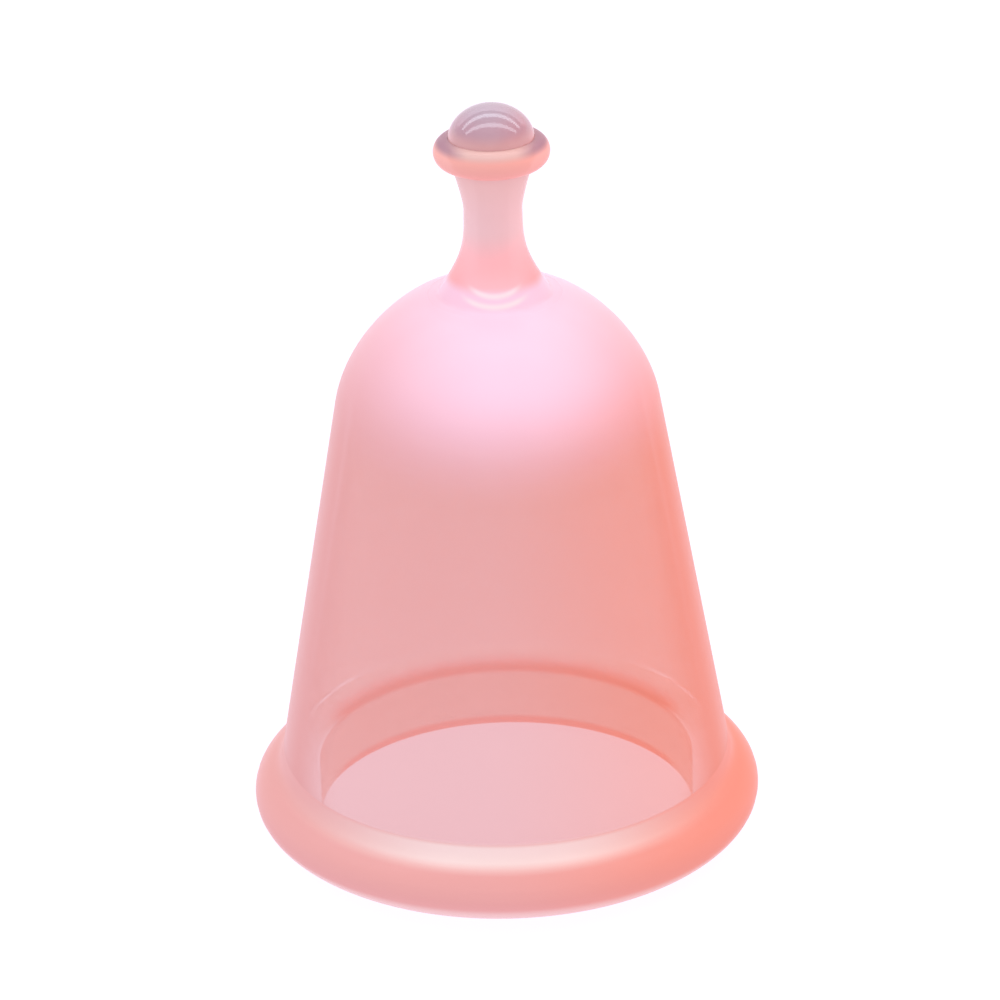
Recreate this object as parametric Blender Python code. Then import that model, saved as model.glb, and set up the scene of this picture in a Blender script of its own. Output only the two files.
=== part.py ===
"""Silicone cupping cup: a bell on a thick rolled rim, with a hollow waisted stem and a domed release
valve in its head.

Metres, +Z up. The origin is the centre of the mouth, on the plane of the flat ring under the rim.
Every piece is turned about the Z axis, apart from the return spring, which is coiled about it.
"""

import math

import bmesh
import bpy

# Gap between pieces that touch, and the room that the button's pieces need to slide
GAP = 0.0003
SLIDE_GAP = 0.0002

# Bell: rolled rim
RIM_RADIUS = 0.025
RIM_HALF_HEIGHT = 0.0037
RIM_CENTRE_Z = 0.0035
RIM_ROUND_WIDTH = 0.007
RIM_FULLNESS = 2.1
RIM_SHOULDER_ANGLE = 48.0
MOUTH_RADIUS = 0.0185
MOUTH_EDGE_ROUND = 0.0005
MOUTH_FACE_TOP_Z = 0.0066
MOUTH_LEDGE_ROUND = 0.0006

# Bell: wall, crown and the seat for the stem's foot
WALL_FOOT_RADIUS = 0.02202
WALL_FOOT_Z = 0.0083
WALL_TOP_RADIUS = 0.01557
WALL_TOP_Z = 0.04475
WALL_THICKNESS = 0.0018
WALL_FILLET = 0.0008
CROWN_Z = 0.05594
CROWN_FLAT_RADIUS = 0.00544
CROWN_INNER_Z = 0.0534
CROWN_FULLNESS = 0.55
CROWN_FLATTENING = 0.52
FOOT_SEAT_RADIUS = 0.0064
FOOT_SEAT_Z = 0.0549
NECK_RADIUS = 0.0024

# Stem: hollow, with a flared foot, a waist and a spigot for the collar
STEM_BORE_RADIUS = 0.0015
STEM_WAIST_RADIUS = 0.00279
STEM_WAIST_Z = 0.06453
STEM_SHOULDER_RADIUS = 0.0037
STEM_SHOULDER_Z = 0.06837
STEM_BEND_Z = 0.0620
SPIGOT_RADIUS = 0.0022
SPIGOT_TOP_Z = 0.0695
SPIGOT_BORE_RADIUS = 0.0017
SPIGOT_BORE_Z = 0.0664
FLARE_HOLLOW = 0.456
FLARE_WAIST = 0.4
SHOULDER_WAIST = 0.15
SHOULDER_FLARE = 0.25
BEAD_RADIUS = 0.0029
BEAD_HEIGHT = 0.0009
TAIL_NOSE = 0.0006

# Collar: half-round ring with a web that the spigot passes through
COLLAR_RADIUS = 0.0055
COLLAR_HALF_HEIGHT = 0.0014
COLLAR_CENTRE_Z = 0.07007
COLLAR_BORE_RADIUS = 0.0043

# Dome button: a shell with a boss for the pin
DOME_RADIUS = 0.0041
DOME_EQUATOR_Z = 0.07114
DOME_TOP_Z = 0.07458
DOME_WALL = 0.0008
DOME_EDGE_Z = 0.0708
BOSS_RADIUS = 0.00115
BOSS_END_Z = 0.0724
BOSS_BORE_TOP_Z = 0.07345

# Valve: flanged seat, headed pin, seal ring and return spring
SEAT_FLANGE_RADIUS = 0.0029
SEAT_FLANGE_THICKNESS = 0.0006
SEAT_BOTTOM_Z = 0.0667
PORT_RADIUS = 0.0009
PIN_RADIUS = 0.0005
PIN_TOP_Z = 0.0733
PIN_HEAD_RADIUS = 0.0010
PIN_HEAD_HEIGHT = 0.0006
PIN_CHAMFER = 0.00012
SEAL_RADIUS = 0.0012
SEAL_HEIGHT = 0.0005
SEAL_GAP = 0.0001
SPRING_RADIUS = 0.00145
SPRING_WIRE_RADIUS = 0.00016
SPRING_TURNS = 3.5
SPRING_LENGTH = 0.00275
SPRING_STEPS_PER_TURN = 16
SPRING_WIRE_SIDES = 6

# Facets round each turned piece
BELL_SEGMENTS = 48
STEM_SEGMENTS = 28
SMALL_SEGMENTS = 20
CREASE_ANGLE = math.radians(35)
WELD_DISTANCE = 0.000001


def clear_scene():
    for old in list(bpy.data.objects):
        bpy.data.objects.remove(old, do_unlink=True)


def make_material(name, color, roughness, alpha=1.0, metallic=0.0):
    material = bpy.data.materials.new(name)
    material.use_nodes = True
    shader = material.node_tree.nodes["Principled BSDF"]
    shader.inputs["Base Color"].default_value = (*color, 1.0)
    shader.inputs["Roughness"].default_value = roughness
    shader.inputs["Metallic"].default_value = metallic
    shader.inputs["Alpha"].default_value = alpha
    return material


def add_axis(name, z, parent=None):
    """An empty on the centre line, which the pieces of one moving body hang from."""
    axis = bpy.data.objects.new(name, None)
    bpy.context.collection.objects.link(axis)
    attach(axis, z, parent)
    return axis


def attach(piece, z, parent):
    """Place a piece at a height above the foot, under its parent's frame."""
    parent_z = 0.0
    if parent is not None:
        piece.parent = parent
        parent_z = parent["height"]
    piece.location = (0.0, 0.0, z - parent_z)
    piece["height"] = z


def ellipse(centre, radii, start, end, steps, fullness=2.0):
    """Points of a (super)ellipse in the (radius, height) plane, from one angle to another."""
    points = []
    for step in range(steps + 1):
        angle = math.radians(start + (end - start) * step / steps)
        across, up = math.cos(angle), math.sin(angle)
        power = 2.0 / fullness
        points.append((
            centre[0] + radii[0] * math.copysign(abs(across) ** power, across),
            centre[1] + radii[1] * math.copysign(abs(up) ** power, up),
        ))
    return points


def bezier(start, leave, arrive, end, steps):
    """Points of a cubic curve in the (radius, height) plane."""
    points = []
    for step in range(steps + 1):
        t = step / steps
        weights = ((1 - t) ** 3, 3 * (1 - t) ** 2 * t, 3 * (1 - t) * t ** 2, t ** 3)
        points.append(tuple(
            sum(w * p[axis] for w, p in zip(weights, (start, leave, arrive, end)))
            for axis in (0, 1)
        ))
    return points


def turned(name, profile, segments, material, base_z=0.0, parent=None):
    """One closed (radius, height) outline, turned about the centre line."""
    mesh = bpy.data.meshes.new(name)
    shape = bmesh.new()
    ring = [shape.verts.new((radius, 0.0, height - base_z)) for radius, height in profile]
    edges = [
        shape.edges.new((ring[i - 1], ring[i]))
        for i in range(len(ring))
        if max(profile[i - 1][0], profile[i][0]) > WELD_DISTANCE
    ]
    bmesh.ops.spin(
        shape,
        geom=ring + edges,
        axis=(0.0, 0.0, 1.0),
        cent=(0.0, 0.0, 0.0),
        angle=2.0 * math.pi,
        steps=segments,
    )
    bmesh.ops.remove_doubles(shape, verts=shape.verts, dist=WELD_DISTANCE)
    bmesh.ops.recalc_face_normals(shape, faces=shape.faces)
    shape.to_mesh(mesh)
    shape.free()
    return add_piece(name, mesh, material, base_z, parent)


def add_piece(name, mesh, material, base_z, parent):
    mesh.materials.append(material)
    mesh.shade_smooth()
    mesh.set_sharp_from_angle(angle=CREASE_ANGLE)
    piece = bpy.data.objects.new(name, mesh)
    bpy.context.collection.objects.link(piece)
    attach(piece, base_z, parent)
    return piece


def wall_radius(z):
    """Outer radius of the straight wall at a height."""
    share = (z - WALL_FOOT_Z) / (WALL_TOP_Z - WALL_FOOT_Z)
    return WALL_FOOT_RADIUS + (WALL_TOP_RADIUS - WALL_FOOT_RADIUS) * share


def crown(inset, top_z, flat_radius, steps):
    """Curve of the crown from the wall's top to its flat middle, offset inwards by the inset."""
    rise = top_z - WALL_TOP_Z
    start = (WALL_TOP_RADIUS - inset, WALL_TOP_Z)
    leave_z = WALL_TOP_Z + rise * CROWN_FULLNESS
    leave = (wall_radius(leave_z) - inset, leave_z)
    arrive = (flat_radius + (start[0] - flat_radius) * CROWN_FULLNESS * CROWN_FLATTENING, top_z)
    return bezier(start, leave, arrive, (flat_radius, top_z), steps)


def rim_outline():
    """Outer round of the rim, from the flat ring under it up to the shoulder below the wall."""
    centre = (RIM_RADIUS - RIM_ROUND_WIDTH, RIM_CENTRE_Z)
    radii = (RIM_ROUND_WIDTH, RIM_HALF_HEIGHT)
    flat_angle = math.degrees(math.asin((RIM_CENTRE_Z / RIM_HALF_HEIGHT) ** (RIM_FULLNESS / 2.0)))
    return ellipse(centre, radii, -flat_angle, RIM_SHOULDER_ANGLE, 14, RIM_FULLNESS)


def wall_fillet(shoulder):
    """Hollow curve from the rim's shoulder into the wall."""
    low_z = WALL_FOOT_Z - WALL_FILLET / 2.0
    high_z = WALL_FOOT_Z + WALL_FILLET
    leave = (shoulder[0] - WALL_FILLET, shoulder[1] + 0.8 * WALL_FILLET)
    curve = bezier(shoulder, leave, (wall_radius(low_z), low_z), (wall_radius(high_z), high_z), 4)
    return curve[1:]


def foot_seat():
    """Recess in the crown for the stem's foot, and the hole through it for the stem's tail."""
    return [
        (FOOT_SEAT_RADIUS, CROWN_Z - GAP / 2.0),
        (FOOT_SEAT_RADIUS, FOOT_SEAT_Z),
        (NECK_RADIUS, FOOT_SEAT_Z),
        (NECK_RADIUS, CROWN_INNER_Z),
    ]


def mouth_outline():
    """Inner side of the rim: the ledge under the wall, the upright face and its rounded edge."""
    round_centre = (MOUTH_RADIUS + MOUTH_EDGE_ROUND, MOUTH_EDGE_ROUND)
    edge = ellipse(round_centre, (MOUTH_EDGE_ROUND, MOUTH_EDGE_ROUND), 180.0, 270.0, 3)
    return [
        (wall_radius(WALL_FOOT_Z) - WALL_THICKNESS, WALL_FOOT_Z),
        (MOUTH_RADIUS + MOUTH_LEDGE_ROUND, MOUTH_FACE_TOP_Z + MOUTH_LEDGE_ROUND),
        (MOUTH_RADIUS, MOUTH_FACE_TOP_Z),
    ] + edge


def make_bell(material):
    rim = rim_outline()
    outer_crown = crown(0.0, CROWN_Z, CROWN_FLAT_RADIUS, 12)
    outer_crown = [point for point in outer_crown if point[0] > FOOT_SEAT_RADIUS + GAP]
    inner_crown = crown(WALL_THICKNESS, CROWN_INNER_Z, NECK_RADIUS + 2.0 * GAP, 10)
    inner_crown.reverse()
    profile = rim + wall_fillet(rim[-1]) + outer_crown + foot_seat() + inner_crown + mouth_outline()
    return turned("bell", profile, BELL_SEGMENTS, material)


def make_stem(material, crown_axis):
    foot_edge = FOOT_SEAT_RADIUS - GAP
    foot_under_z = FOOT_SEAT_Z + GAP
    tail_radius = NECK_RADIUS - GAP
    bead_top_z = CROWN_INNER_Z - GAP
    bead_low_z = bead_top_z - BEAD_HEIGHT
    tail = [
        (STEM_BORE_RADIUS, bead_low_z - TAIL_NOSE),
        (tail_radius, bead_low_z - TAIL_NOSE),
        (BEAD_RADIUS, bead_low_z),
        (BEAD_RADIUS, bead_top_z),
        (tail_radius, bead_top_z),
        (tail_radius, foot_under_z),
        (foot_edge, foot_under_z),
        (foot_edge, CROWN_Z - GAP / 3.0),
    ]
    flare_height = STEM_WAIST_Z - CROWN_Z
    flare = bezier(
        (CROWN_FLAT_RADIUS, CROWN_Z),
        (STEM_WAIST_RADIUS, CROWN_Z + FLARE_HOLLOW * flare_height),
        (STEM_WAIST_RADIUS, STEM_WAIST_Z - FLARE_WAIST * flare_height),
        (STEM_WAIST_RADIUS, STEM_WAIST_Z),
        12,
    )
    neck_height = STEM_SHOULDER_Z - STEM_WAIST_Z
    neck = bezier(
        (STEM_WAIST_RADIUS, STEM_WAIST_Z),
        (STEM_WAIST_RADIUS, STEM_WAIST_Z + SHOULDER_WAIST * neck_height),
        (STEM_SHOULDER_RADIUS - GAP, STEM_SHOULDER_Z - SHOULDER_FLARE * neck_height),
        (STEM_SHOULDER_RADIUS, STEM_SHOULDER_Z),
        6,
    )
    head = [
        (SPIGOT_RADIUS, STEM_SHOULDER_Z),
        (SPIGOT_RADIUS, SPIGOT_TOP_Z),
        (SPIGOT_BORE_RADIUS, SPIGOT_TOP_Z),
        (SPIGOT_BORE_RADIUS, SPIGOT_BORE_Z),
        (STEM_BORE_RADIUS, SPIGOT_BORE_Z),
    ]
    profile = tail + flare + neck[1:] + head
    return turned("stem", profile, STEM_SEGMENTS, material, CROWN_Z, crown_axis)


def make_collar(material, head_axis):
    centre = (COLLAR_RADIUS - COLLAR_HALF_HEIGHT, COLLAR_CENTRE_Z)
    radii = (COLLAR_HALF_HEIGHT, COLLAR_HALF_HEIGHT)
    top_angle = math.degrees(math.acos((COLLAR_BORE_RADIUS - centre[0]) / COLLAR_HALF_HEIGHT))
    ring = ellipse(centre, radii, -90.0, top_angle, 12)
    web = [
        (COLLAR_BORE_RADIUS, SPIGOT_TOP_Z),
        (SPIGOT_RADIUS + GAP, SPIGOT_TOP_Z),
        (SPIGOT_RADIUS + GAP, COLLAR_CENTRE_Z - COLLAR_HALF_HEIGHT),
    ]
    return turned("collar", ring + web, STEM_SEGMENTS, material, COLLAR_CENTRE_Z, head_axis)


def make_valve_seat(material, head_axis):
    barrel_radius = SPIGOT_BORE_RADIUS - GAP
    flange_z = SPIGOT_TOP_Z + GAP
    profile = [
        (PORT_RADIUS, SEAT_BOTTOM_Z),
        (barrel_radius, SEAT_BOTTOM_Z),
        (barrel_radius, flange_z),
        (SEAT_FLANGE_RADIUS, flange_z),
        (SEAT_FLANGE_RADIUS, flange_z + SEAT_FLANGE_THICKNESS),
        (PORT_RADIUS, flange_z + SEAT_FLANGE_THICKNESS),
    ]
    return turned("valve_seat", profile, SMALL_SEGMENTS, material, flange_z, head_axis)


def make_return_spring(material, head_axis):
    base_z = SPIGOT_TOP_Z + GAP + SEAT_FLANGE_THICKNESS + SPRING_WIRE_RADIUS + SEAL_GAP
    rise = SPRING_LENGTH - 2.0 * SPRING_WIRE_RADIUS - SEAL_GAP
    steps = int(SPRING_TURNS * SPRING_STEPS_PER_TURN)
    mesh = bpy.data.meshes.new("return_spring")
    shape = bmesh.new()
    rings = []
    for step in range(steps + 1):
        turn = 2.0 * math.pi * step / SPRING_STEPS_PER_TURN
        ring = []
        for side in range(SPRING_WIRE_SIDES):
            angle = 2.0 * math.pi * side / SPRING_WIRE_SIDES
            radius = SPRING_RADIUS + SPRING_WIRE_RADIUS * math.cos(angle)
            height = rise * step / steps + SPRING_WIRE_RADIUS * math.sin(angle)
            ring.append(shape.verts.new((radius * math.cos(turn), radius * math.sin(turn), height)))
        rings.append(ring)
    for lower, upper in zip(rings, rings[1:]):
        for side in range(SPRING_WIRE_SIDES):
            after = (side + 1) % SPRING_WIRE_SIDES
            shape.faces.new((lower[side], lower[after], upper[after], upper[side]))
    shape.faces.new(rings[0])
    shape.faces.new(rings[-1])
    bmesh.ops.recalc_face_normals(shape, faces=shape.faces)
    shape.to_mesh(mesh)
    shape.free()
    return add_piece("return_spring", mesh, material, base_z, head_axis)


def make_dome_button(material, button_axis):
    outer = ellipse((0.0, DOME_EQUATOR_Z), (DOME_RADIUS, DOME_TOP_Z - DOME_EQUATOR_Z), 0.0, 90.0, 9)
    inner_radii = (DOME_RADIUS - DOME_WALL, DOME_TOP_Z - DOME_EQUATOR_Z - DOME_WALL)
    boss_angle = math.degrees(math.acos(BOSS_RADIUS / inner_radii[0]))
    inner = ellipse((0.0, DOME_EQUATOR_Z), inner_radii, boss_angle, 0.0, 6)
    bore_radius = PIN_RADIUS + SLIDE_GAP
    boss = [
        (0.0, BOSS_BORE_TOP_Z),
        (bore_radius, BOSS_BORE_TOP_Z),
        (bore_radius, BOSS_END_Z),
        (BOSS_RADIUS, BOSS_END_Z),
    ]
    edge = [(inner_radii[0], DOME_EDGE_Z), (DOME_RADIUS, DOME_EDGE_Z)]
    profile = outer + boss + inner + edge
    return turned("dome_button", profile, STEM_SEGMENTS, material, DOME_EQUATOR_Z, button_axis)


def make_valve_pin(material, button_axis):
    head_top_z = SEAT_BOTTOM_Z - 2.0 * SEAL_GAP - SEAL_HEIGHT
    profile = [
        (0.0, head_top_z - PIN_HEAD_HEIGHT),
        (PIN_HEAD_RADIUS - PIN_CHAMFER, head_top_z - PIN_HEAD_HEIGHT),
        (PIN_HEAD_RADIUS, head_top_z - PIN_HEAD_HEIGHT + PIN_CHAMFER),
        (PIN_HEAD_RADIUS, head_top_z),
        (PIN_RADIUS, head_top_z),
        (PIN_RADIUS, PIN_TOP_Z - PIN_CHAMFER),
        (PIN_RADIUS - PIN_CHAMFER, PIN_TOP_Z),
        (0.0, PIN_TOP_Z),
    ]
    return turned("valve_pin", profile, SMALL_SEGMENTS, material, head_top_z, button_axis)


def make_seal_ring(material, button_axis):
    base_z = SEAT_BOTTOM_Z - SEAL_GAP - SEAL_HEIGHT
    inner_radius = PIN_RADIUS + SEAL_GAP
    half = SEAL_HEIGHT / 2.0
    rounded = ellipse((SEAL_RADIUS - half, base_z + half), (half, half), -90.0, 90.0, 6)
    profile = rounded + [(inner_radius, base_z + SEAL_HEIGHT), (inner_radius, base_z)]
    return turned("seal_ring", profile, SMALL_SEGMENTS, material, base_z, button_axis)


def main():
    clear_scene()
    silicone = make_material("bell_silicone", (0.83, 0.38, 0.37), 0.35, alpha=0.75)
    stem_silicone = make_material("stem_silicone", (0.84, 0.42, 0.45), 0.35, alpha=0.8)
    collar_silicone = make_material("collar_silicone", (0.84, 0.40, 0.39), 0.3, alpha=0.85)
    clear_silicone = make_material("clear_silicone", (0.58, 0.37, 0.44), 0.2, alpha=0.7)
    white_plastic = make_material("white_plastic", (0.80, 0.74, 0.76), 0.4)
    seal_silicone = make_material("seal_silicone", (0.80, 0.62, 0.66), 0.5)
    steel = make_material("spring_steel", (0.62, 0.62, 0.64), 0.3, metallic=1.0)

    make_bell(silicone)
    crown_axis = add_axis("crown_axis", CROWN_Z)
    make_stem(stem_silicone, crown_axis)
    head_axis = add_axis("stem_bend_axis", STEM_BEND_Z, crown_axis)
    make_collar(collar_silicone, head_axis)
    make_valve_seat(white_plastic, head_axis)
    make_return_spring(steel, head_axis)
    button_axis = add_axis("button_axis", DOME_EDGE_Z, head_axis)
    make_dome_button(clear_silicone, button_axis)
    make_valve_pin(white_plastic, button_axis)
    make_seal_ring(seal_silicone, button_axis)
    bpy.context.view_layer.update()


main()
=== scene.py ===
import math

import bmesh
import bpy
from mathutils import Matrix, Vector


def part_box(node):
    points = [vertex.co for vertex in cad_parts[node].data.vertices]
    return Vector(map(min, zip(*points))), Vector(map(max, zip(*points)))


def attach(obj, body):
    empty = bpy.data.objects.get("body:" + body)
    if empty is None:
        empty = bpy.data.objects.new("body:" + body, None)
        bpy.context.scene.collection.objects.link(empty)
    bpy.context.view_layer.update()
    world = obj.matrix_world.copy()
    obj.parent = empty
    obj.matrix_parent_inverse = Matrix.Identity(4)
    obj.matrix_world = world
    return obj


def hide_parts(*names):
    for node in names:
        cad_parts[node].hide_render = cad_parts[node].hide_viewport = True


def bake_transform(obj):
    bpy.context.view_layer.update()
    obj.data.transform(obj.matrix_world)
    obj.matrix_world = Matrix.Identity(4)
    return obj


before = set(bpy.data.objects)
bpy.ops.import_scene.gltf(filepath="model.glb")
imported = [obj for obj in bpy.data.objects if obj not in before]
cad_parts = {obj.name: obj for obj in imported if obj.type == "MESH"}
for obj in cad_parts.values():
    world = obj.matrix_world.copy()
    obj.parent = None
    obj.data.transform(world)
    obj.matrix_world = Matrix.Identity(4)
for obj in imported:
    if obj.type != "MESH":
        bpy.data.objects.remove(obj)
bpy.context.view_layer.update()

# Turned pieces
MM = 0.001
BELL_SEGMENTS = 160
STEM_SEGMENTS = 96
SMALL_SEGMENTS = 48
BELL_STEP = 0.6 * MM
STEM_STEP = 0.3 * MM
SMALL_STEP = 0.1 * MM
CORNER_TURN = math.radians(34)
SHARP_EDGE = math.radians(48)
LONG_RUN = 2.5
PLANE_TOLERANCE = 1e-6

# Gaps that the CAD keeps between faces that touch: two corners of a (radius, height) box, and the shift
# that closes the gap for the outline's points in the box
FOOT_TOP_TO_CROWN = ((6.0 * MM, 55.5 * MM), (6.2 * MM, 56.0 * MM), (0.32 * MM, -0.06 * MM))
FOOT_TO_SEAT = ((6.0 * MM, 55.0 * MM), (6.2 * MM, 55.5 * MM), (0.27 * MM, 0.0))
SHOULDER_TO_COLLAR = ((2.0 * MM, 68.3 * MM), (3.8 * MM, 68.4 * MM), (0.0, 0.28 * MM))
BORE_TO_DOME = ((4.2 * MM, 69.0 * MM), (4.4 * MM, 72.0 * MM), (-0.21 * MM, 0.0))

# Return spring
SPRING_TURNS = 3.5
SPRING_WIRE_RADIUS = 0.16 * MM
WIRE_SIDES = 8
STEPS_PER_TURN = 32

# Clear silicone: how much each piece hides of what is behind it, seen straight on, and the slants, from 0
# straight on to 1 edge on, from which it starts to hide more and at which it hides all
WALL_OPACITY = 0.70
RIM_OPACITY = 0.97
STEM_OPACITY = 0.985
COLLAR_OPACITY = 0.96
DOME_OPACITY = 0.90
SLANT_START = 0.35
SLANT_FULL = 0.70
SILICONE_IOR = 1.41

# Bell colours, from the -X side to the +X side where there are two; their turn from rose to coral is painted
# warm light from the +X side
ROSE = (0.69, 0.305, 0.285)
CORAL = (0.73, 0.235, 0.16)
RIM_ROSE = (0.74, 0.35, 0.33)
RIM_CORAL = (0.78, 0.27, 0.20)
# Painted highlight on the rim's shoulder, and painted floor light under the rim
RIM_HIGHLIGHT_ROSE = (0.87, 0.70, 0.67)
RIM_HIGHLIGHT_CORAL = (0.82, 0.60, 0.56)
# Painted highlight: the lilac crown stands for the overhead light falling on it
CROWN_HIGHLIGHT_LILAC = (0.90, 0.60, 0.74)
# Painted light: the inside is paler than the outside, and the mouth palest, for light coming through the wall
# into the shaded inside
INSIDE = (0.91, 0.60, 0.51)
MOUTH = (0.95, 0.68, 0.60)
# Painted shade: deeper coral lines on the ledge's crease and the mouth's lip
MOUTH_EDGE_SHADE = (1.0, 0.32, 0.22)

# Where each of them begins and where it is full; a band has four places: begins, full, still full, ends
# Painted warm light: where the bell turns from rose to coral across it
CORAL_ACROSS = (-0.15, 0.95)
# Painted highlight on the crown: its middle, how far it spreads across and how far down
GLOW_MIDDLE_X = 1.5 * MM
GLOW_X = (23.5 * MM, 1 * MM)
GLOW_Z = (40 * MM, 51.5 * MM)
SEAT_Z = (54.8 * MM, 54.2 * MM)
CROWN_Z = (40 * MM, 50 * MM)
RIM_Z = (8.4 * MM, 8.1 * MM)
# Painted highlight along the rim's shoulder, and painted floor light on the rim's underside
SHOULDER_HIGHLIGHT_BAND = (5.7 * MM, 6.6 * MM, 7.8 * MM, 8.5 * MM)
SHOULDER_HIGHLIGHT_ACROSS = (1.05, 0.2)
UNDERSIDE_LIGHT_Z = (2.9 * MM, 2.0 * MM)
UNDERSIDE_LIGHT_SHARE = 0.5
# Painted light: where the inside turns to the paler mouth
MOUTH_Z = (9 * MM, 8 * MM)
MOUTH_FACE_Z = (7.4 * MM, 6.6 * MM)
STEP_BAND = (6.3 * MM, 6.6 * MM, 8.4 * MM, 9.0 * MM)
# Painted shade on the ledge and the lip
LEDGE_BAND = (5.8 * MM, 6.5 * MM, 7.1 * MM, 7.9 * MM)
LIP_RADIUS = (19.4 * MM, 19.1 * MM)
LIP_Z = (1.3 * MM, 0.7 * MM)
CORNERS_ACROSS = (0.97, 0.86)

# Stem colours, up from the foot as (height, colour), and its foot
STEM_FOOT_PINK = (0.93, 0.50, 0.54)
STEM_STOPS = [
    (57.3 * MM, STEM_FOOT_PINK),
    (59.5 * MM, (0.95, 0.48, 0.50)),
    (63 * MM, (0.81, 0.54, 0.545)),
    (68 * MM, (0.78, 0.51, 0.485)),
]
# Painted shade: darker on the sides of the flare
FLARE_SIDE_SHADE = (0.86, 0.39, 0.40)
FLARE_SIDE_X = (2.0 * MM, 4.5 * MM)
FLARE_SIDE_Z = (62.0 * MM, 59.5 * MM)
FOOT_Z = (58.0 * MM, 57.0 * MM)
# Painted highlights: two pale crescents at the stem's foot, for the overhead strips' reflections
GLEAM = (0.94, 0.74, 0.78)
GLEAMS = ((57.2 * MM, 2.5 * MM), (56.35 * MM, 3.2 * MM))
GLEAM_THICKNESS = 0.42 * MM
GLEAM_CURL = 0.6 * MM
GLEAM_ENDS = (1.1, 0.6)

# Collar colours: a painted highlight on its top at the front and back, and a painted lilac reflection on its
# top at the sides
COLLAR_CORAL = (0.84, 0.40, 0.35)
COLLAR_TOP_HIGHLIGHT = (0.66, 0.42, 0.39)
COLLAR_SIDE_REFLECTION = (0.36, 0.185, 0.235)
COLLAR_TOP_Z = (70.5 * MM, 71.2 * MM)
COLLAR_SIDE_X = (2.0 * MM, 4.6 * MM)

# Dome colours, from its edge up
DOME_EDGE = (0.86, 0.48, 0.41)
DOME_STOPS = [(71.6 * MM, (0.67, 0.355, 0.355)), (73 * MM, (0.475, 0.285, 0.345))]
DOME_TOP = (0.415, 0.305, 0.375)

# Inner pieces, each from its darker to its lighter colour
PLASTIC_COLOURS = ((0.78, 0.74, 0.76), (0.86, 0.82, 0.84))
SEAL_COLOURS = ((0.76, 0.56, 0.60), (0.84, 0.66, 0.70))
STEEL_COLOURS = ((0.48, 0.48, 0.50), (0.62, 0.62, 0.64))

# Camera, as the photograph's
TARGET_Z = 34.12 * MM
CAMERA_DISTANCE = 430 * MM
CAMERA_ELEVATION = math.radians(24.74)
CAMERA_ROLL = math.radians(1.4)
LENS = 160.0
SENSOR = 36.0

# Studio
STRIP_HEIGHT = 0.30
STRIP_LENGTH = 1.04
STRIP_WIDTH = 0.07
STRIP_ANGLES = (math.radians(24.3), math.radians(-8.3))
STRIP_RADIANCE = 3.4
STRIP_COLOUR = (0.80, 0.92, 1.0)
LIGHT_FROM_LEFT = (0.70, 0.60, 0.62, 1.0)
LIGHT_FROM_FRONT = (1.0, 1.0, 1.0, 1.0)
LIGHT_FROM_RIGHT = (1.1, 0.50, 0.38, 1.0)
HORIZON_TOP = math.sin(math.radians(6))
TINT_FULL = math.sin(math.radians(16))
FLOOR_RADIUS = 6.0
FLOOR_SEGMENTS = 96
FLOOR_Z = -0.1 * MM
FLOOR_COLOUR = (0.15, 0.15, 0.15, 1.0)
FLOOR_GLOW = (0.98, 0.90, 1.05, 1.0)


def outline(node):
    """A turned node's outline as (radius, height) points, and whether it closes on itself."""
    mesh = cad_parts[node].data
    on_plane = {}
    for vertex in mesh.vertices:
        if abs(vertex.co.y) < PLANE_TOLERANCE and vertex.co.x > -PLANE_TOLERANCE:
            on_plane[vertex.index] = (round(max(vertex.co.x, 0.0), 6), round(vertex.co.z, 6))
    links = {}
    for edge in mesh.edges:
        a, b = (on_plane.get(index) for index in edge.vertices)
        if a and b and a != b:
            links.setdefault(a, set()).add(b)
            links.setdefault(b, set()).add(a)
    ends = sorted(point for point in links if len(links[point]) == 1)
    point = ends[0] if ends else min(links)
    walked = [point]
    while True:
        following = sorted(p for p in links[point] if p not in walked)
        if not following:
            break
        point = following[0]
        walked.append(point)
    return [Vector(p) for p in walked], not ends


def tangent(before, point, after):
    """Direction of a smooth outline at a point. A long straight run keeps its own direction."""
    back = point - before
    ahead = after - point
    if back.length > LONG_RUN * ahead.length:
        return back.normalized()
    if ahead.length > LONG_RUN * back.length:
        return ahead.normalized()
    return (back.normalized() * ahead.length + ahead.normalized() * back.length).normalized()


def refined(points, closed, step):
    """The same outline with a curve through its gentle points; sharp corners stay sharp."""
    count = len(points)
    runs = count if closed else count - 1
    result = []
    for i in range(runs):
        a, b = points[i], points[(i + 1) % count]
        chord = (b - a).normalized()
        start = end = chord
        before = points[i - 1] if closed or i > 0 else None
        after = points[(i + 2) % count] if closed or i + 2 < count else None
        if before is not None and (a - before).angle(b - a) < CORNER_TURN:
            start = tangent(before, a, b)
        if after is not None and (b - a).angle(after - b) < CORNER_TURN:
            end = tangent(a, b, after)
        length = (b - a).length
        parts = max(1, math.ceil(length / step))
        for k in range(parts):
            t = k / parts
            result.append(
                a * (2 * t**3 - 3 * t**2 + 1)
                + start * length * (t**3 - 2 * t**2 + t)
                + b * (3 * t**2 - 2 * t**3)
                + end * length * (t**3 - t**2)
            )
    if not closed:
        result.append(points[-1])
    return result


def keep_places(mesh):
    """Stores where each point is at rest, so that a pattern stays on the silicone when it bends.

    It also stores whether the surface faces the centre line, as the inside of the wall does.
    """
    places = mesh.attributes.new("rest_place", "FLOAT_VECTOR", "POINT")
    for vertex in mesh.vertices:
        places.data[vertex.index].vector = vertex.co
    inside = mesh.attributes.new("inside", "FLOAT", "POINT")
    for vertex in mesh.vertices:
        inside.data[vertex.index].value = float(vertex.normal.xy.dot(vertex.co.xy) < 0)


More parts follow.
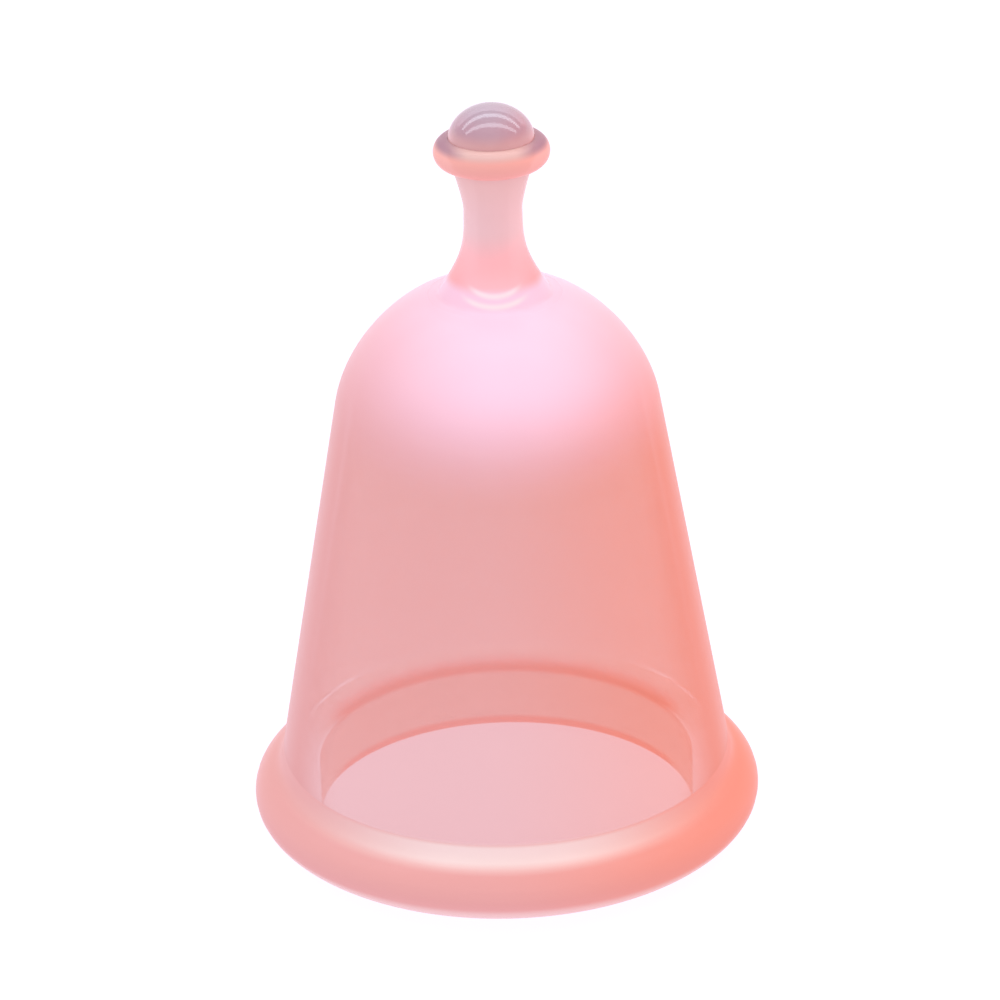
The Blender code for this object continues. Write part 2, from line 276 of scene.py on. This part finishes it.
def finish_piece(name, form, material, nodes):
    """Turns a bmesh into a named piece that stands for the given CAD nodes."""
    bmesh.ops.recalc_face_normals(form, faces=form.faces)
    mesh = bpy.data.meshes.new(name)
    form.to_mesh(mesh)
    form.free()
    mesh.polygons.foreach_set("use_smooth", [True] * len(mesh.polygons))
    mesh.set_sharp_from_angle(angle=SHARP_EDGE)
    keep_places(mesh)
    mesh.materials.append(material)
    piece = bpy.data.objects.new(name, mesh)
    bpy.context.scene.collection.objects.link(piece)
    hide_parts(*nodes)
    return piece


def moved(points, low, high, shift):
    """Outline points inside a (radius, height) box, from low to high, shifted."""
    return [
        point + Vector(shift) if low[0] < point.x < high[0] and low[1] < point.y < high[1] else point
        for point in points
    ]


def turned(name, node, segments, step, material, gaps=()):
    """A fine copy of a turned CAD node, spun from the node's own outline.

    Each gap is a box and a shift, for a face that touches its neighbour where the CAD keeps them apart.
    """
    points, closed = outline(node)
    for gap in gaps:
        points = moved(points, *gap)
    if not closed and points[0].x > 0:
        points = [Vector((0.0, points[0].y))] + points
    if not closed and points[-1].x > 0:
        points = points + [Vector((0.0, points[-1].y))]
    lowest = min(point.y for point in points)
    profile = [Vector((point.x, max(point.y, lowest))) for point in refined(points, closed, step)]
    form = bmesh.new()
    ring = [form.verts.new((p.x, 0.0, p.y)) for p in profile]
    edges = [form.edges.new(pair) for pair in zip(ring, ring[1:])]
    if closed:
        edges.append(form.edges.new((ring[-1], ring[0])))
    bmesh.ops.spin(
        form, geom=ring + edges, cent=(0, 0, 0), axis=(0, 0, 1), angle=math.tau, steps=segments,
        use_merge=True, use_duplicate=False,
    )
    bmesh.ops.remove_doubles(form, verts=form.verts, dist=PLANE_TOLERANCE)
    return finish_piece(name, form, material, [node])


def coil(name, node, material):
    """The return spring as a round wire on a helix inside the CAD spring's box."""
    low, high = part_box(node)
    radius = (high[0] - low[0]) / 2 - SPRING_WIRE_RADIUS
    foot = low[2] + SPRING_WIRE_RADIUS
    rise = high[2] - low[2] - 2 * SPRING_WIRE_RADIUS
    steps = int(SPRING_TURNS * STEPS_PER_TURN)
    form = bmesh.new()
    rings = []
    for i in range(steps + 1):
        turn = math.tau * SPRING_TURNS * i / steps
        centre = Vector((radius * math.cos(turn), radius * math.sin(turn), foot + rise * i / steps))
        outward = Vector((math.cos(turn), math.sin(turn), 0.0))
        up = Vector((0.0, 0.0, 1.0))
        ring = []
        for k in range(WIRE_SIDES):
            side = math.tau * k / WIRE_SIDES
            offset = outward * math.cos(side) + up * math.sin(side)
            ring.append(form.verts.new(centre + offset * SPRING_WIRE_RADIUS))
        rings.append(ring)
    for a, b in zip(rings, rings[1:]):
        for k in range(WIRE_SIDES):
            following = (k + 1) % WIRE_SIDES
            form.faces.new((a[k], a[following], b[following], b[k]))
    form.faces.new(rings[0])
    form.faces.new(rings[-1])
    return finish_piece(name, form, material, [node])


class Shader:
    """A material's node tree, with short calls for the few nodes that the pieces need."""

    def __init__(self, name):
        self.material = bpy.data.materials.new(name)
        self.material.use_nodes = True
        self.nodes = self.material.node_tree.nodes
        self.links = self.material.node_tree.links
        self.surface = self.nodes["Principled BSDF"]
        place = self.nodes.new("ShaderNodeAttribute")
        place.attribute_name = "rest_place"
        self.place = place.outputs["Vector"]
        split = self.nodes.new("ShaderNodeSeparateXYZ")
        self.links.new(self.place, split.inputs[0])
        self.x, self.y, self.z = split.outputs
        side = self.nodes.new("ShaderNodeAttribute")
        side.attribute_name = "inside"
        self.inside = side.outputs["Fac"]

    def feed(self, socket, value):
        """Links an output to a socket, or sets a plain value on it."""
        if isinstance(value, bpy.types.NodeSocket):
            self.links.new(value, socket)
        else:
            socket.default_value = value

    def set(self, **values):
        """Feeds the shader's own sockets. In a name, _ stands for a space."""
        for name, value in values.items():
            self.feed(self.surface.inputs[name.replace("_", " ")], value)

    def maths(self, operation, a, b=0.0):
        """One Math node."""
        node = self.nodes.new("ShaderNodeMath")
        node.operation = operation
        self.feed(node.inputs[0], a)
        self.feed(node.inputs[1], b)
        return node.outputs[0]

    def times(self, a, b):
        """The two multiplied."""
        return self.maths("MULTIPLY", a, b)

    def rest_of(self, share):
        """1 less the share."""
        return self.maths("SUBTRACT", 1.0, share)

    def scaled(self, value, low, high):
        """A 0 to 1 value as a value from low to high."""
        return self.maths("ADD", self.times(value, high - low), low)

    def rise(self, value, low, high):
        """0 below low, 1 above high, smooth between them. With high below low, it falls instead."""
        node = self.nodes.new("ShaderNodeMapRange")
        node.interpolation_type = "SMOOTHSTEP"
        self.feed(node.inputs["Value"], value)
        node.inputs["From Min"].default_value = low
        node.inputs["From Max"].default_value = high
        return node.outputs["Result"]

    def band(self, value, start, low, high, end):
        """1 between low and high, 0 outside start and end."""
        return self.times(self.rise(value, start, low), self.rise(value, end, high))

    def mix(self, share, a, b):
        """Colour a turning into colour b."""
        node = self.nodes.new("ShaderNodeMix")
        node.data_type = "RGBA"
        self.feed(node.inputs[0], share)
        self.feed(node.inputs[6], a if isinstance(a, bpy.types.NodeSocket) else (*a, 1.0))
        self.feed(node.inputs[7], b if isinstance(b, bpy.types.NodeSocket) else (*b, 1.0))
        return node.outputs[2]

    def ramp(self, value, stops):
        """Colours along a length, with stops as (place, colour) from the lowest to the highest place."""
        low, high = stops[0][0], stops[-1][0]
        span = self.nodes.new("ShaderNodeMapRange")
        self.feed(span.inputs["Value"], value)
        span.inputs["From Min"].default_value = low
        span.inputs["From Max"].default_value = high
        node = self.nodes.new("ShaderNodeValToRGB")
        node.color_ramp.interpolation = "EASE"
        elements = node.color_ramp.elements
        while len(elements) < len(stops):
            elements.new(0.5)
        for element, (place, colour) in zip(elements, stops):
            element.position = (place - low) / (high - low)
            element.color = (*colour, 1.0)
        self.links.new(span.outputs["Result"], node.inputs[0])
        return node.outputs["Color"]

    def sideways(self):
        """Distance from the plane x = 0."""
        return self.maths("ABSOLUTE", self.x)

    def radius(self):
        """Distance from the centre line."""
        return self.maths("SQRT", self.maths("ADD", self.times(self.x, self.x), self.times(self.y, self.y)))

    def across(self):
        """-1 at the -X side, 0 at the front and the back, 1 at the +X side."""
        return self.maths("DIVIDE", self.x, self.radius())

    def warmed(self, rose, coral):
        """A colour that turns from rose at the -X side to coral at the +X side: painted warm light from +X,
        added to the world's coral light there.
        """
        return self.mix(self.rise(self.across(), *CORAL_ACROSS), rose, coral)

    def crown_glow(self):
        """Share of the crown's painted lilac highlight, for the overhead light: full near the middle, little
        at the sides.
        """
        from_middle = self.maths("ABSOLUTE", self.maths("SUBTRACT", self.x, GLOW_MIDDLE_X))
        return self.rise(from_middle, *GLOW_X)

    def gleam(self, height, half_width):
        """Painted highlight: 1 on a thin crescent at a height, front and back, that curls up and fades at its
        ends.
        """
        share = self.maths("DIVIDE", self.sideways(), half_width)
        curl = self.times(self.times(share, share), GLEAM_CURL)
        above = self.maths("SUBTRACT", self.z, self.maths("ADD", curl, height))
        line = self.rise(self.maths("ABSOLUTE", above), GLEAM_THICKNESS, 0.0)
        return self.times(line, self.rise(share, *GLEAM_ENDS))

    def noise(self, scale, detail=3.0):
        """A fine pattern that stays on the piece, about 0.5 on average."""
        node = self.nodes.new("ShaderNodeTexNoise")
        self.feed(node.inputs["Vector"], self.place)
        node.inputs["Scale"].default_value = scale
        node.inputs["Detail"].default_value = detail
        return node.outputs["Fac"]

    def varied(self, low, high, scale, detail=3.0):
        """A value that varies from low to high in a fine pattern."""
        return self.scaled(self.noise(scale, detail), low, high)

    def grain(self, depth, scale, detail):
        """A fine unevenness of the surface."""
        node = self.nodes.new("ShaderNodeBump")
        node.inputs["Distance"].default_value = depth
        self.feed(node.inputs["Height"], self.noise(scale, detail))
        self.links.new(node.outputs["Normal"], self.surface.inputs["Normal"])

    def opacity(self, share, clearing=0.0, thickening=1.0):
        """Alpha of clear silicone: share seen straight on, and full at a slant, where it looks thicker.

        Back faces are left out, so that a wall is seen once and not twice. Where clearing is 1, the surface
        clears at a slant instead, as a narrow edge seen through the wall does. Where thickening is 0, the
        share stays the same at a slant.
        """
        facing = self.nodes.new("ShaderNodeLayerWeight")
        geometry = self.nodes.new("ShaderNodeNewGeometry")
        slanted = self.rise(facing.outputs["Facing"], SLANT_START, SLANT_FULL)
        clear = self.times(self.rest_of(share), self.rest_of(self.times(slanted, thickening)))
        front = self.rest_of(geometry.outputs["Backfacing"])
        kept = self.rest_of(self.times(clearing, slanted))
        return self.times(self.times(self.rest_of(clear), front), kept)


def outer_colour(shader, outside, rim):
    """Rose to coral as painted warm light, with a painted lilac highlight on the crown, a painted highlight
    along the rim's shoulder and painted floor light under the rim.
    """
    colour = shader.mix(rim, shader.warmed(ROSE, CORAL), shader.warmed(RIM_ROSE, RIM_CORAL))
    glow = shader.times(shader.rise(shader.z, *GLOW_Z), shader.crown_glow())
    colour = shader.mix(glow, colour, CROWN_HIGHLIGHT_LILAC)
    sideways = shader.maths("ABSOLUTE", shader.across())
    # Painted highlight on the shoulder, and painted light from the floor under the rim
    shoulder = shader.times(shader.band(shader.z, *SHOULDER_HIGHLIGHT_BAND), shader.rise(sideways, *SHOULDER_HIGHLIGHT_ACROSS))
    under = shader.scaled(shader.rise(shader.z, *UNDERSIDE_LIGHT_Z), 0.0, UNDERSIDE_LIGHT_SHARE)
    pale = shader.times(outside, shader.maths("MAXIMUM", shoulder, under))
    return shader.mix(pale, colour, shader.warmed(RIM_HIGHLIGHT_ROSE, RIM_HIGHLIGHT_CORAL))


def mouth_edges(shader, inside):
    """1 on the ledge and the lip of the mouth, but not at its two corners: where painted shade draws deeper
    coral lines, as thick silicone seen edge on looks.
    """
    ledge = shader.times(inside, shader.band(shader.z, *LEDGE_BAND))
    lip = shader.times(shader.rise(shader.radius(), *LIP_RADIUS), shader.rise(shader.z, *LIP_Z))
    sideways = shader.maths("ABSOLUTE", shader.across())
    return shader.times(shader.maths("MAXIMUM", ledge, lip), shader.rise(sideways, *CORNERS_ACROSS))


def bell_material():
    """Satin translucent silicone with a thick, fuller coloured rim. Painted light: rose to coral for warm
    light from +X, a lilac highlight on the crown, a highlight along the rim's shoulder, floor light under the
    rim, a paler inside, and shade as deeper coral lines on the ledge and the lip.
    """
    shader = Shader("bell_silicone")
    inside = shader.times(shader.inside, shader.rise(shader.z, *SEAT_Z))
    outside = shader.rest_of(inside)
    rim = shader.times(outside, shader.rise(shader.z, *RIM_Z))
    # Painted light: the inside paler, the mouth palest
    inner_colour = shader.mix(shader.rise(shader.z, *MOUTH_Z), INSIDE, MOUTH)
    colour = shader.mix(inside, outer_colour(shader, outside, rim), inner_colour)
    # Painted shade: deeper coral on the ledge and the lip
    colour = shader.mix(mouth_edges(shader, inside), colour, MOUTH_EDGE_SHADE)
    mouth = shader.rise(shader.z, *MOUTH_FACE_Z)
    crown = shader.rise(shader.z, *CROWN_Z)
    full = shader.maths("MAXIMUM", shader.maths("MAXIMUM", rim, mouth), crown)
    step = shader.times(inside, shader.band(shader.z, *STEP_BAND))
    shader.set(
        Base_Color=colour,
        Roughness=shader.varied(0.27, 0.33, scale=900.0),
        IOR=SILICONE_IOR,
        Specular_IOR_Level=0.18,
        Alpha=shader.opacity(shader.scaled(full, WALL_OPACITY, RIM_OPACITY), step, outside),
    )
    shader.grain(0.004 * MM, scale=1500.0, detail=4.0)
    return shader.material


def stem_material():
    """Semi-gloss silicone: grey pink under the collar, lilac pink at the waist, bright pink below, with
    painted shade on the flare's sides, two painted highlights at the foot, and the crown's painted highlight
    and warm light where the foot meets the crown.
    """
    shader = Shader("stem_silicone")
    low, high = (corner[2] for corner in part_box("stem"))
    colour = shader.ramp(shader.z, [(low, STEM_FOOT_PINK), *STEM_STOPS, (high, STEM_STOPS[-1][1])])
    # Painted shade on the flare's sides
    flare_side_shade = shader.times(shader.rise(shader.sideways(), *FLARE_SIDE_X), shader.rise(shader.z, *FLARE_SIDE_Z))
    colour = shader.mix(flare_side_shade, colour, FLARE_SIDE_SHADE)
    # Painted highlight and painted warm light: the stem's foot takes the crown's colour
    crown = shader.mix(shader.crown_glow(), shader.warmed(ROSE, CORAL), CROWN_HIGHLIGHT_LILAC)
    colour = shader.mix(shader.rise(shader.z, *FOOT_Z), colour, crown)
    # Painted highlights: the two crescents at the foot
    for height, half_width in GLEAMS:
        colour = shader.mix(shader.gleam(height, half_width), colour, GLEAM)
    shader.set(
        Base_Color=colour,
        Roughness=shader.varied(0.20, 0.28, scale=1200.0),
        IOR=SILICONE_IOR,
        Specular_IOR_Level=0.25,
        Alpha=shader.opacity(STEM_OPACITY),
    )
    shader.grain(0.003 * MM, scale=1800.0, detail=4.0)
    return shader.material


def collar_material():
    """Semi-gloss silicone: coral, with a paler painted highlight on top at the front and back, and a darker
    lilac painted reflection on top at the sides.
    """
    shader = Shader("collar_silicone")
    # Painted highlight on the top's front and back, painted reflection on its sides
    top = shader.mix(shader.rise(shader.sideways(), *COLLAR_SIDE_X), COLLAR_TOP_HIGHLIGHT, COLLAR_SIDE_REFLECTION)
    shader.set(
        Base_Color=shader.mix(shader.rise(shader.z, *COLLAR_TOP_Z), COLLAR_CORAL, top),
        Roughness=shader.varied(0.26, 0.34, scale=1200.0),
        IOR=SILICONE_IOR,
        Specular_IOR_Level=0.2,
        Alpha=shader.opacity(COLLAR_OPACITY),
    )
    shader.grain(0.003 * MM, scale=1800.0, detail=4.0)
    return shader.material


def dome_material():
    """Glossy clear silicone: rosier at the edge, lilac at the top."""
    shader = Shader("clear_silicone")
    low, high = (corner[2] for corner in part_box("dome_button"))
    shader.set(
        Base_Color=shader.ramp(shader.z, [(low, DOME_EDGE), *DOME_STOPS, (high, DOME_TOP)]),
        Roughness=shader.varied(0.09, 0.11, scale=1500.0),
        IOR=1.45,
        Specular_IOR_Level=0.9,
        Alpha=shader.opacity(DOME_OPACITY),
    )
    shader.grain(0.0003 * MM, scale=500.0, detail=1.0)
    return shader.material


def plastic_material():
    """Moulded white plastic with a fine satin grain."""
    shader = Shader("white_plastic")
    colour = shader.mix(shader.noise(700.0), *PLASTIC_COLOURS)
    shader.set(Base_Color=colour, Roughness=shader.varied(0.32, 0.44, scale=2500.0), IOR=1.49)
    shader.grain(0.002 * MM, scale=4000.0, detail=4.0)
    return shader.material


def seal_material():
    """Soft pale silicone of the seal ring."""
    shader = Shader("seal_silicone")
    colour = shader.mix(shader.noise(900.0), *SEAL_COLOURS)
    shader.set(Base_Color=colour, Roughness=shader.varied(0.45, 0.6, scale=2500.0), IOR=SILICONE_IOR)
    shader.grain(0.002 * MM, scale=5000.0, detail=3.0)
    return shader.material


def steel_material():
    """Drawn stainless wire with fine drawing marks."""
    shader = Shader("spring_steel")
    colour = shader.mix(shader.noise(3000.0, detail=6.0), *STEEL_COLOURS)
    roughness = shader.varied(0.22, 0.36, scale=6000.0, detail=5.0)
    shader.set(Base_Color=colour, Metallic=1.0, Roughness=roughness)
    shader.grain(0.001 * MM, scale=8000.0, detail=5.0)
    return shader.material


def make_bell():
    """The bell, turned from the CAD bell's outline. On the real cup, its wall shortens as the stem is pressed
    down.
    """
    bell = turned("bell_shell", "bell", BELL_SEGMENTS, BELL_STEP, bell_material())
    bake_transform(bell)


def make_stem():
    """The stem, turned from the CAD stem's outline, with its gaps to the crown and the collar closed. On the
    real cup, its waist bends under the head.
    """
    gaps = (FOOT_TOP_TO_CROWN, FOOT_TO_SEAT, SHOULDER_TO_COLLAR)
    stem = turned("stem_tube", "stem", STEM_SEGMENTS, STEM_STEP, stem_material(), gaps)
    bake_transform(stem)


def make_head():
    """The collar and the dome button in it."""
    material = collar_material()
    gaps = (BORE_TO_DOME,)
    collar = turned("collar_ring", "collar", STEM_SEGMENTS, STEM_STEP, material, gaps)
    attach(collar, "head")
    dome = turned("dome_cap", "dome_button", STEM_SEGMENTS, SMALL_STEP, dome_material())
    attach(dome, "button")


def make_valve():
    """The pieces inside the head, which show faintly through it."""
    plastic = plastic_material()
    seat = turned("seat_bush", "valve_seat", SMALL_SEGMENTS, SMALL_STEP, plastic)
    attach(seat, "head")
    pin = turned("pin_shaft", "valve_pin", SMALL_SEGMENTS, SMALL_STEP, plastic)
    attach(pin, "button")
    seal = turned("seal_washer", "seal_ring", SMALL_SEGMENTS, SMALL_STEP, seal_material())
    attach(seal, "button")
    spring = coil("spring_coil", "return_spring", steel_material())
    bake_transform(spring)


def make_floor():
    """A plain pale floor that glows evenly, as a light table does."""
    form = bmesh.new()
    bmesh.ops.create_circle(form, cap_ends=True, radius=FLOOR_RADIUS, segments=FLOOR_SEGMENTS)
    mesh = bpy.data.meshes.new("floor")
    form.to_mesh(mesh)
    form.free()
    material = bpy.data.materials.new("pale_floor")
    material.use_nodes = True
    surface = material.node_tree.nodes["Principled BSDF"]
    surface.inputs["Base Color"].default_value = FLOOR_COLOUR
    surface.inputs["Roughness"].default_value = 1.0
    surface.inputs["Specular IOR Level"].default_value = 0.0
    surface.inputs["Emission Color"].default_value = FLOOR_GLOW
    surface.inputs["Emission Strength"].default_value = 1.0
    mesh.materials.append(material)
    floor = bpy.data.objects.new("floor", mesh)
    floor.location.z = FLOOR_Z
    bpy.context.scene.collection.objects.link(floor)


def make_strip(name, angle):
    """A long narrow softbox above the object, tipped back from the zenith by angle, aimed at the head."""
    head_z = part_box("dome_button")[1][2]
    data = bpy.data.lights.new(name, "AREA")
    data.shape = "RECTANGLE"
    data.size = STRIP_LENGTH
    data.size_y = STRIP_WIDTH
    data.energy = STRIP_RADIANCE * math.pi * STRIP_LENGTH * STRIP_WIDTH
    data.color = STRIP_COLOUR
    light = bpy.data.objects.new(name, data)
    light.location = (0.0, STRIP_HEIGHT * math.tan(angle), head_z + STRIP_HEIGHT)
    light.rotation_euler = (-angle, 0.0, 0.0)
    bpy.context.scene.collection.objects.link(light)


def make_world():
    """Soft light from all round: a white horizon, dimmer on the -X side and coral on the +X side above it."""
    world = bpy.data.worlds.new("studio")
    world.use_nodes = True
    nodes, links = world.node_tree.nodes, world.node_tree.links
    direction = nodes.new("ShaderNodeTexCoord")
    split = nodes.new("ShaderNodeSeparateXYZ")
    links.new(direction.outputs["Generated"], split.inputs[0])
    across = nodes.new("ShaderNodeMapRange")
    across.inputs["From Min"].default_value = -1.0
    links.new(split.outputs["X"], across.inputs["Value"])
    ramp = nodes.new("ShaderNodeValToRGB")
    ramp.color_ramp.interpolation = "EASE"
    ramp.color_ramp.elements.new(0.5)
    lights = (LIGHT_FROM_LEFT, LIGHT_FROM_FRONT, LIGHT_FROM_RIGHT)
    for element, colour in zip(ramp.color_ramp.elements, lights):
        element.color = colour
    links.new(across.outputs["Result"], ramp.inputs[0])
    above = nodes.new("ShaderNodeMapRange")
    above.interpolation_type = "SMOOTHSTEP"
    above.inputs["From Min"].default_value = HORIZON_TOP
    above.inputs["From Max"].default_value = TINT_FULL
    links.new(split.outputs["Z"], above.inputs["Value"])
    mix = nodes.new("ShaderNodeMix")
    mix.data_type = "RGBA"
    links.new(above.outputs["Result"], mix.inputs[0])
    mix.inputs[6].default_value = LIGHT_FROM_FRONT
    links.new(ramp.outputs["Color"], mix.inputs[7])
    links.new(mix.outputs[2], nodes["Background"].inputs["Color"])
    bpy.context.scene.world = world


def make_camera():
    """The photograph's viewing angle, with the small roll that leans the object's top to the left."""
    data = bpy.data.cameras.new("camera")
    data.lens = LENS
    data.sensor_width = SENSOR
    data.clip_start = 0.01
    camera = bpy.data.objects.new("camera", data)
    away = Vector((0.0, -math.cos(CAMERA_ELEVATION), math.sin(CAMERA_ELEVATION)))
    facing = (-away).to_track_quat("-Z", "Y").to_matrix().to_4x4()
    place = Matrix.Translation(Vector((0.0, 0.0, TARGET_Z)) + away * CAMERA_DISTANCE)
    camera.matrix_world = place @ facing @ Matrix.Rotation(-CAMERA_ROLL, 4, "Z")
    bpy.context.scene.collection.objects.link(camera)
    bpy.context.scene.camera = camera


make_bell()
make_stem()
make_head()
make_valve()
make_floor()
make_world()
for number, strip_angle in enumerate(STRIP_ANGLES, start=1):
    make_strip(f"strip_{number}", strip_angle)
make_camera()
bpy.context.scene.view_settings.view_transform = "Standard"
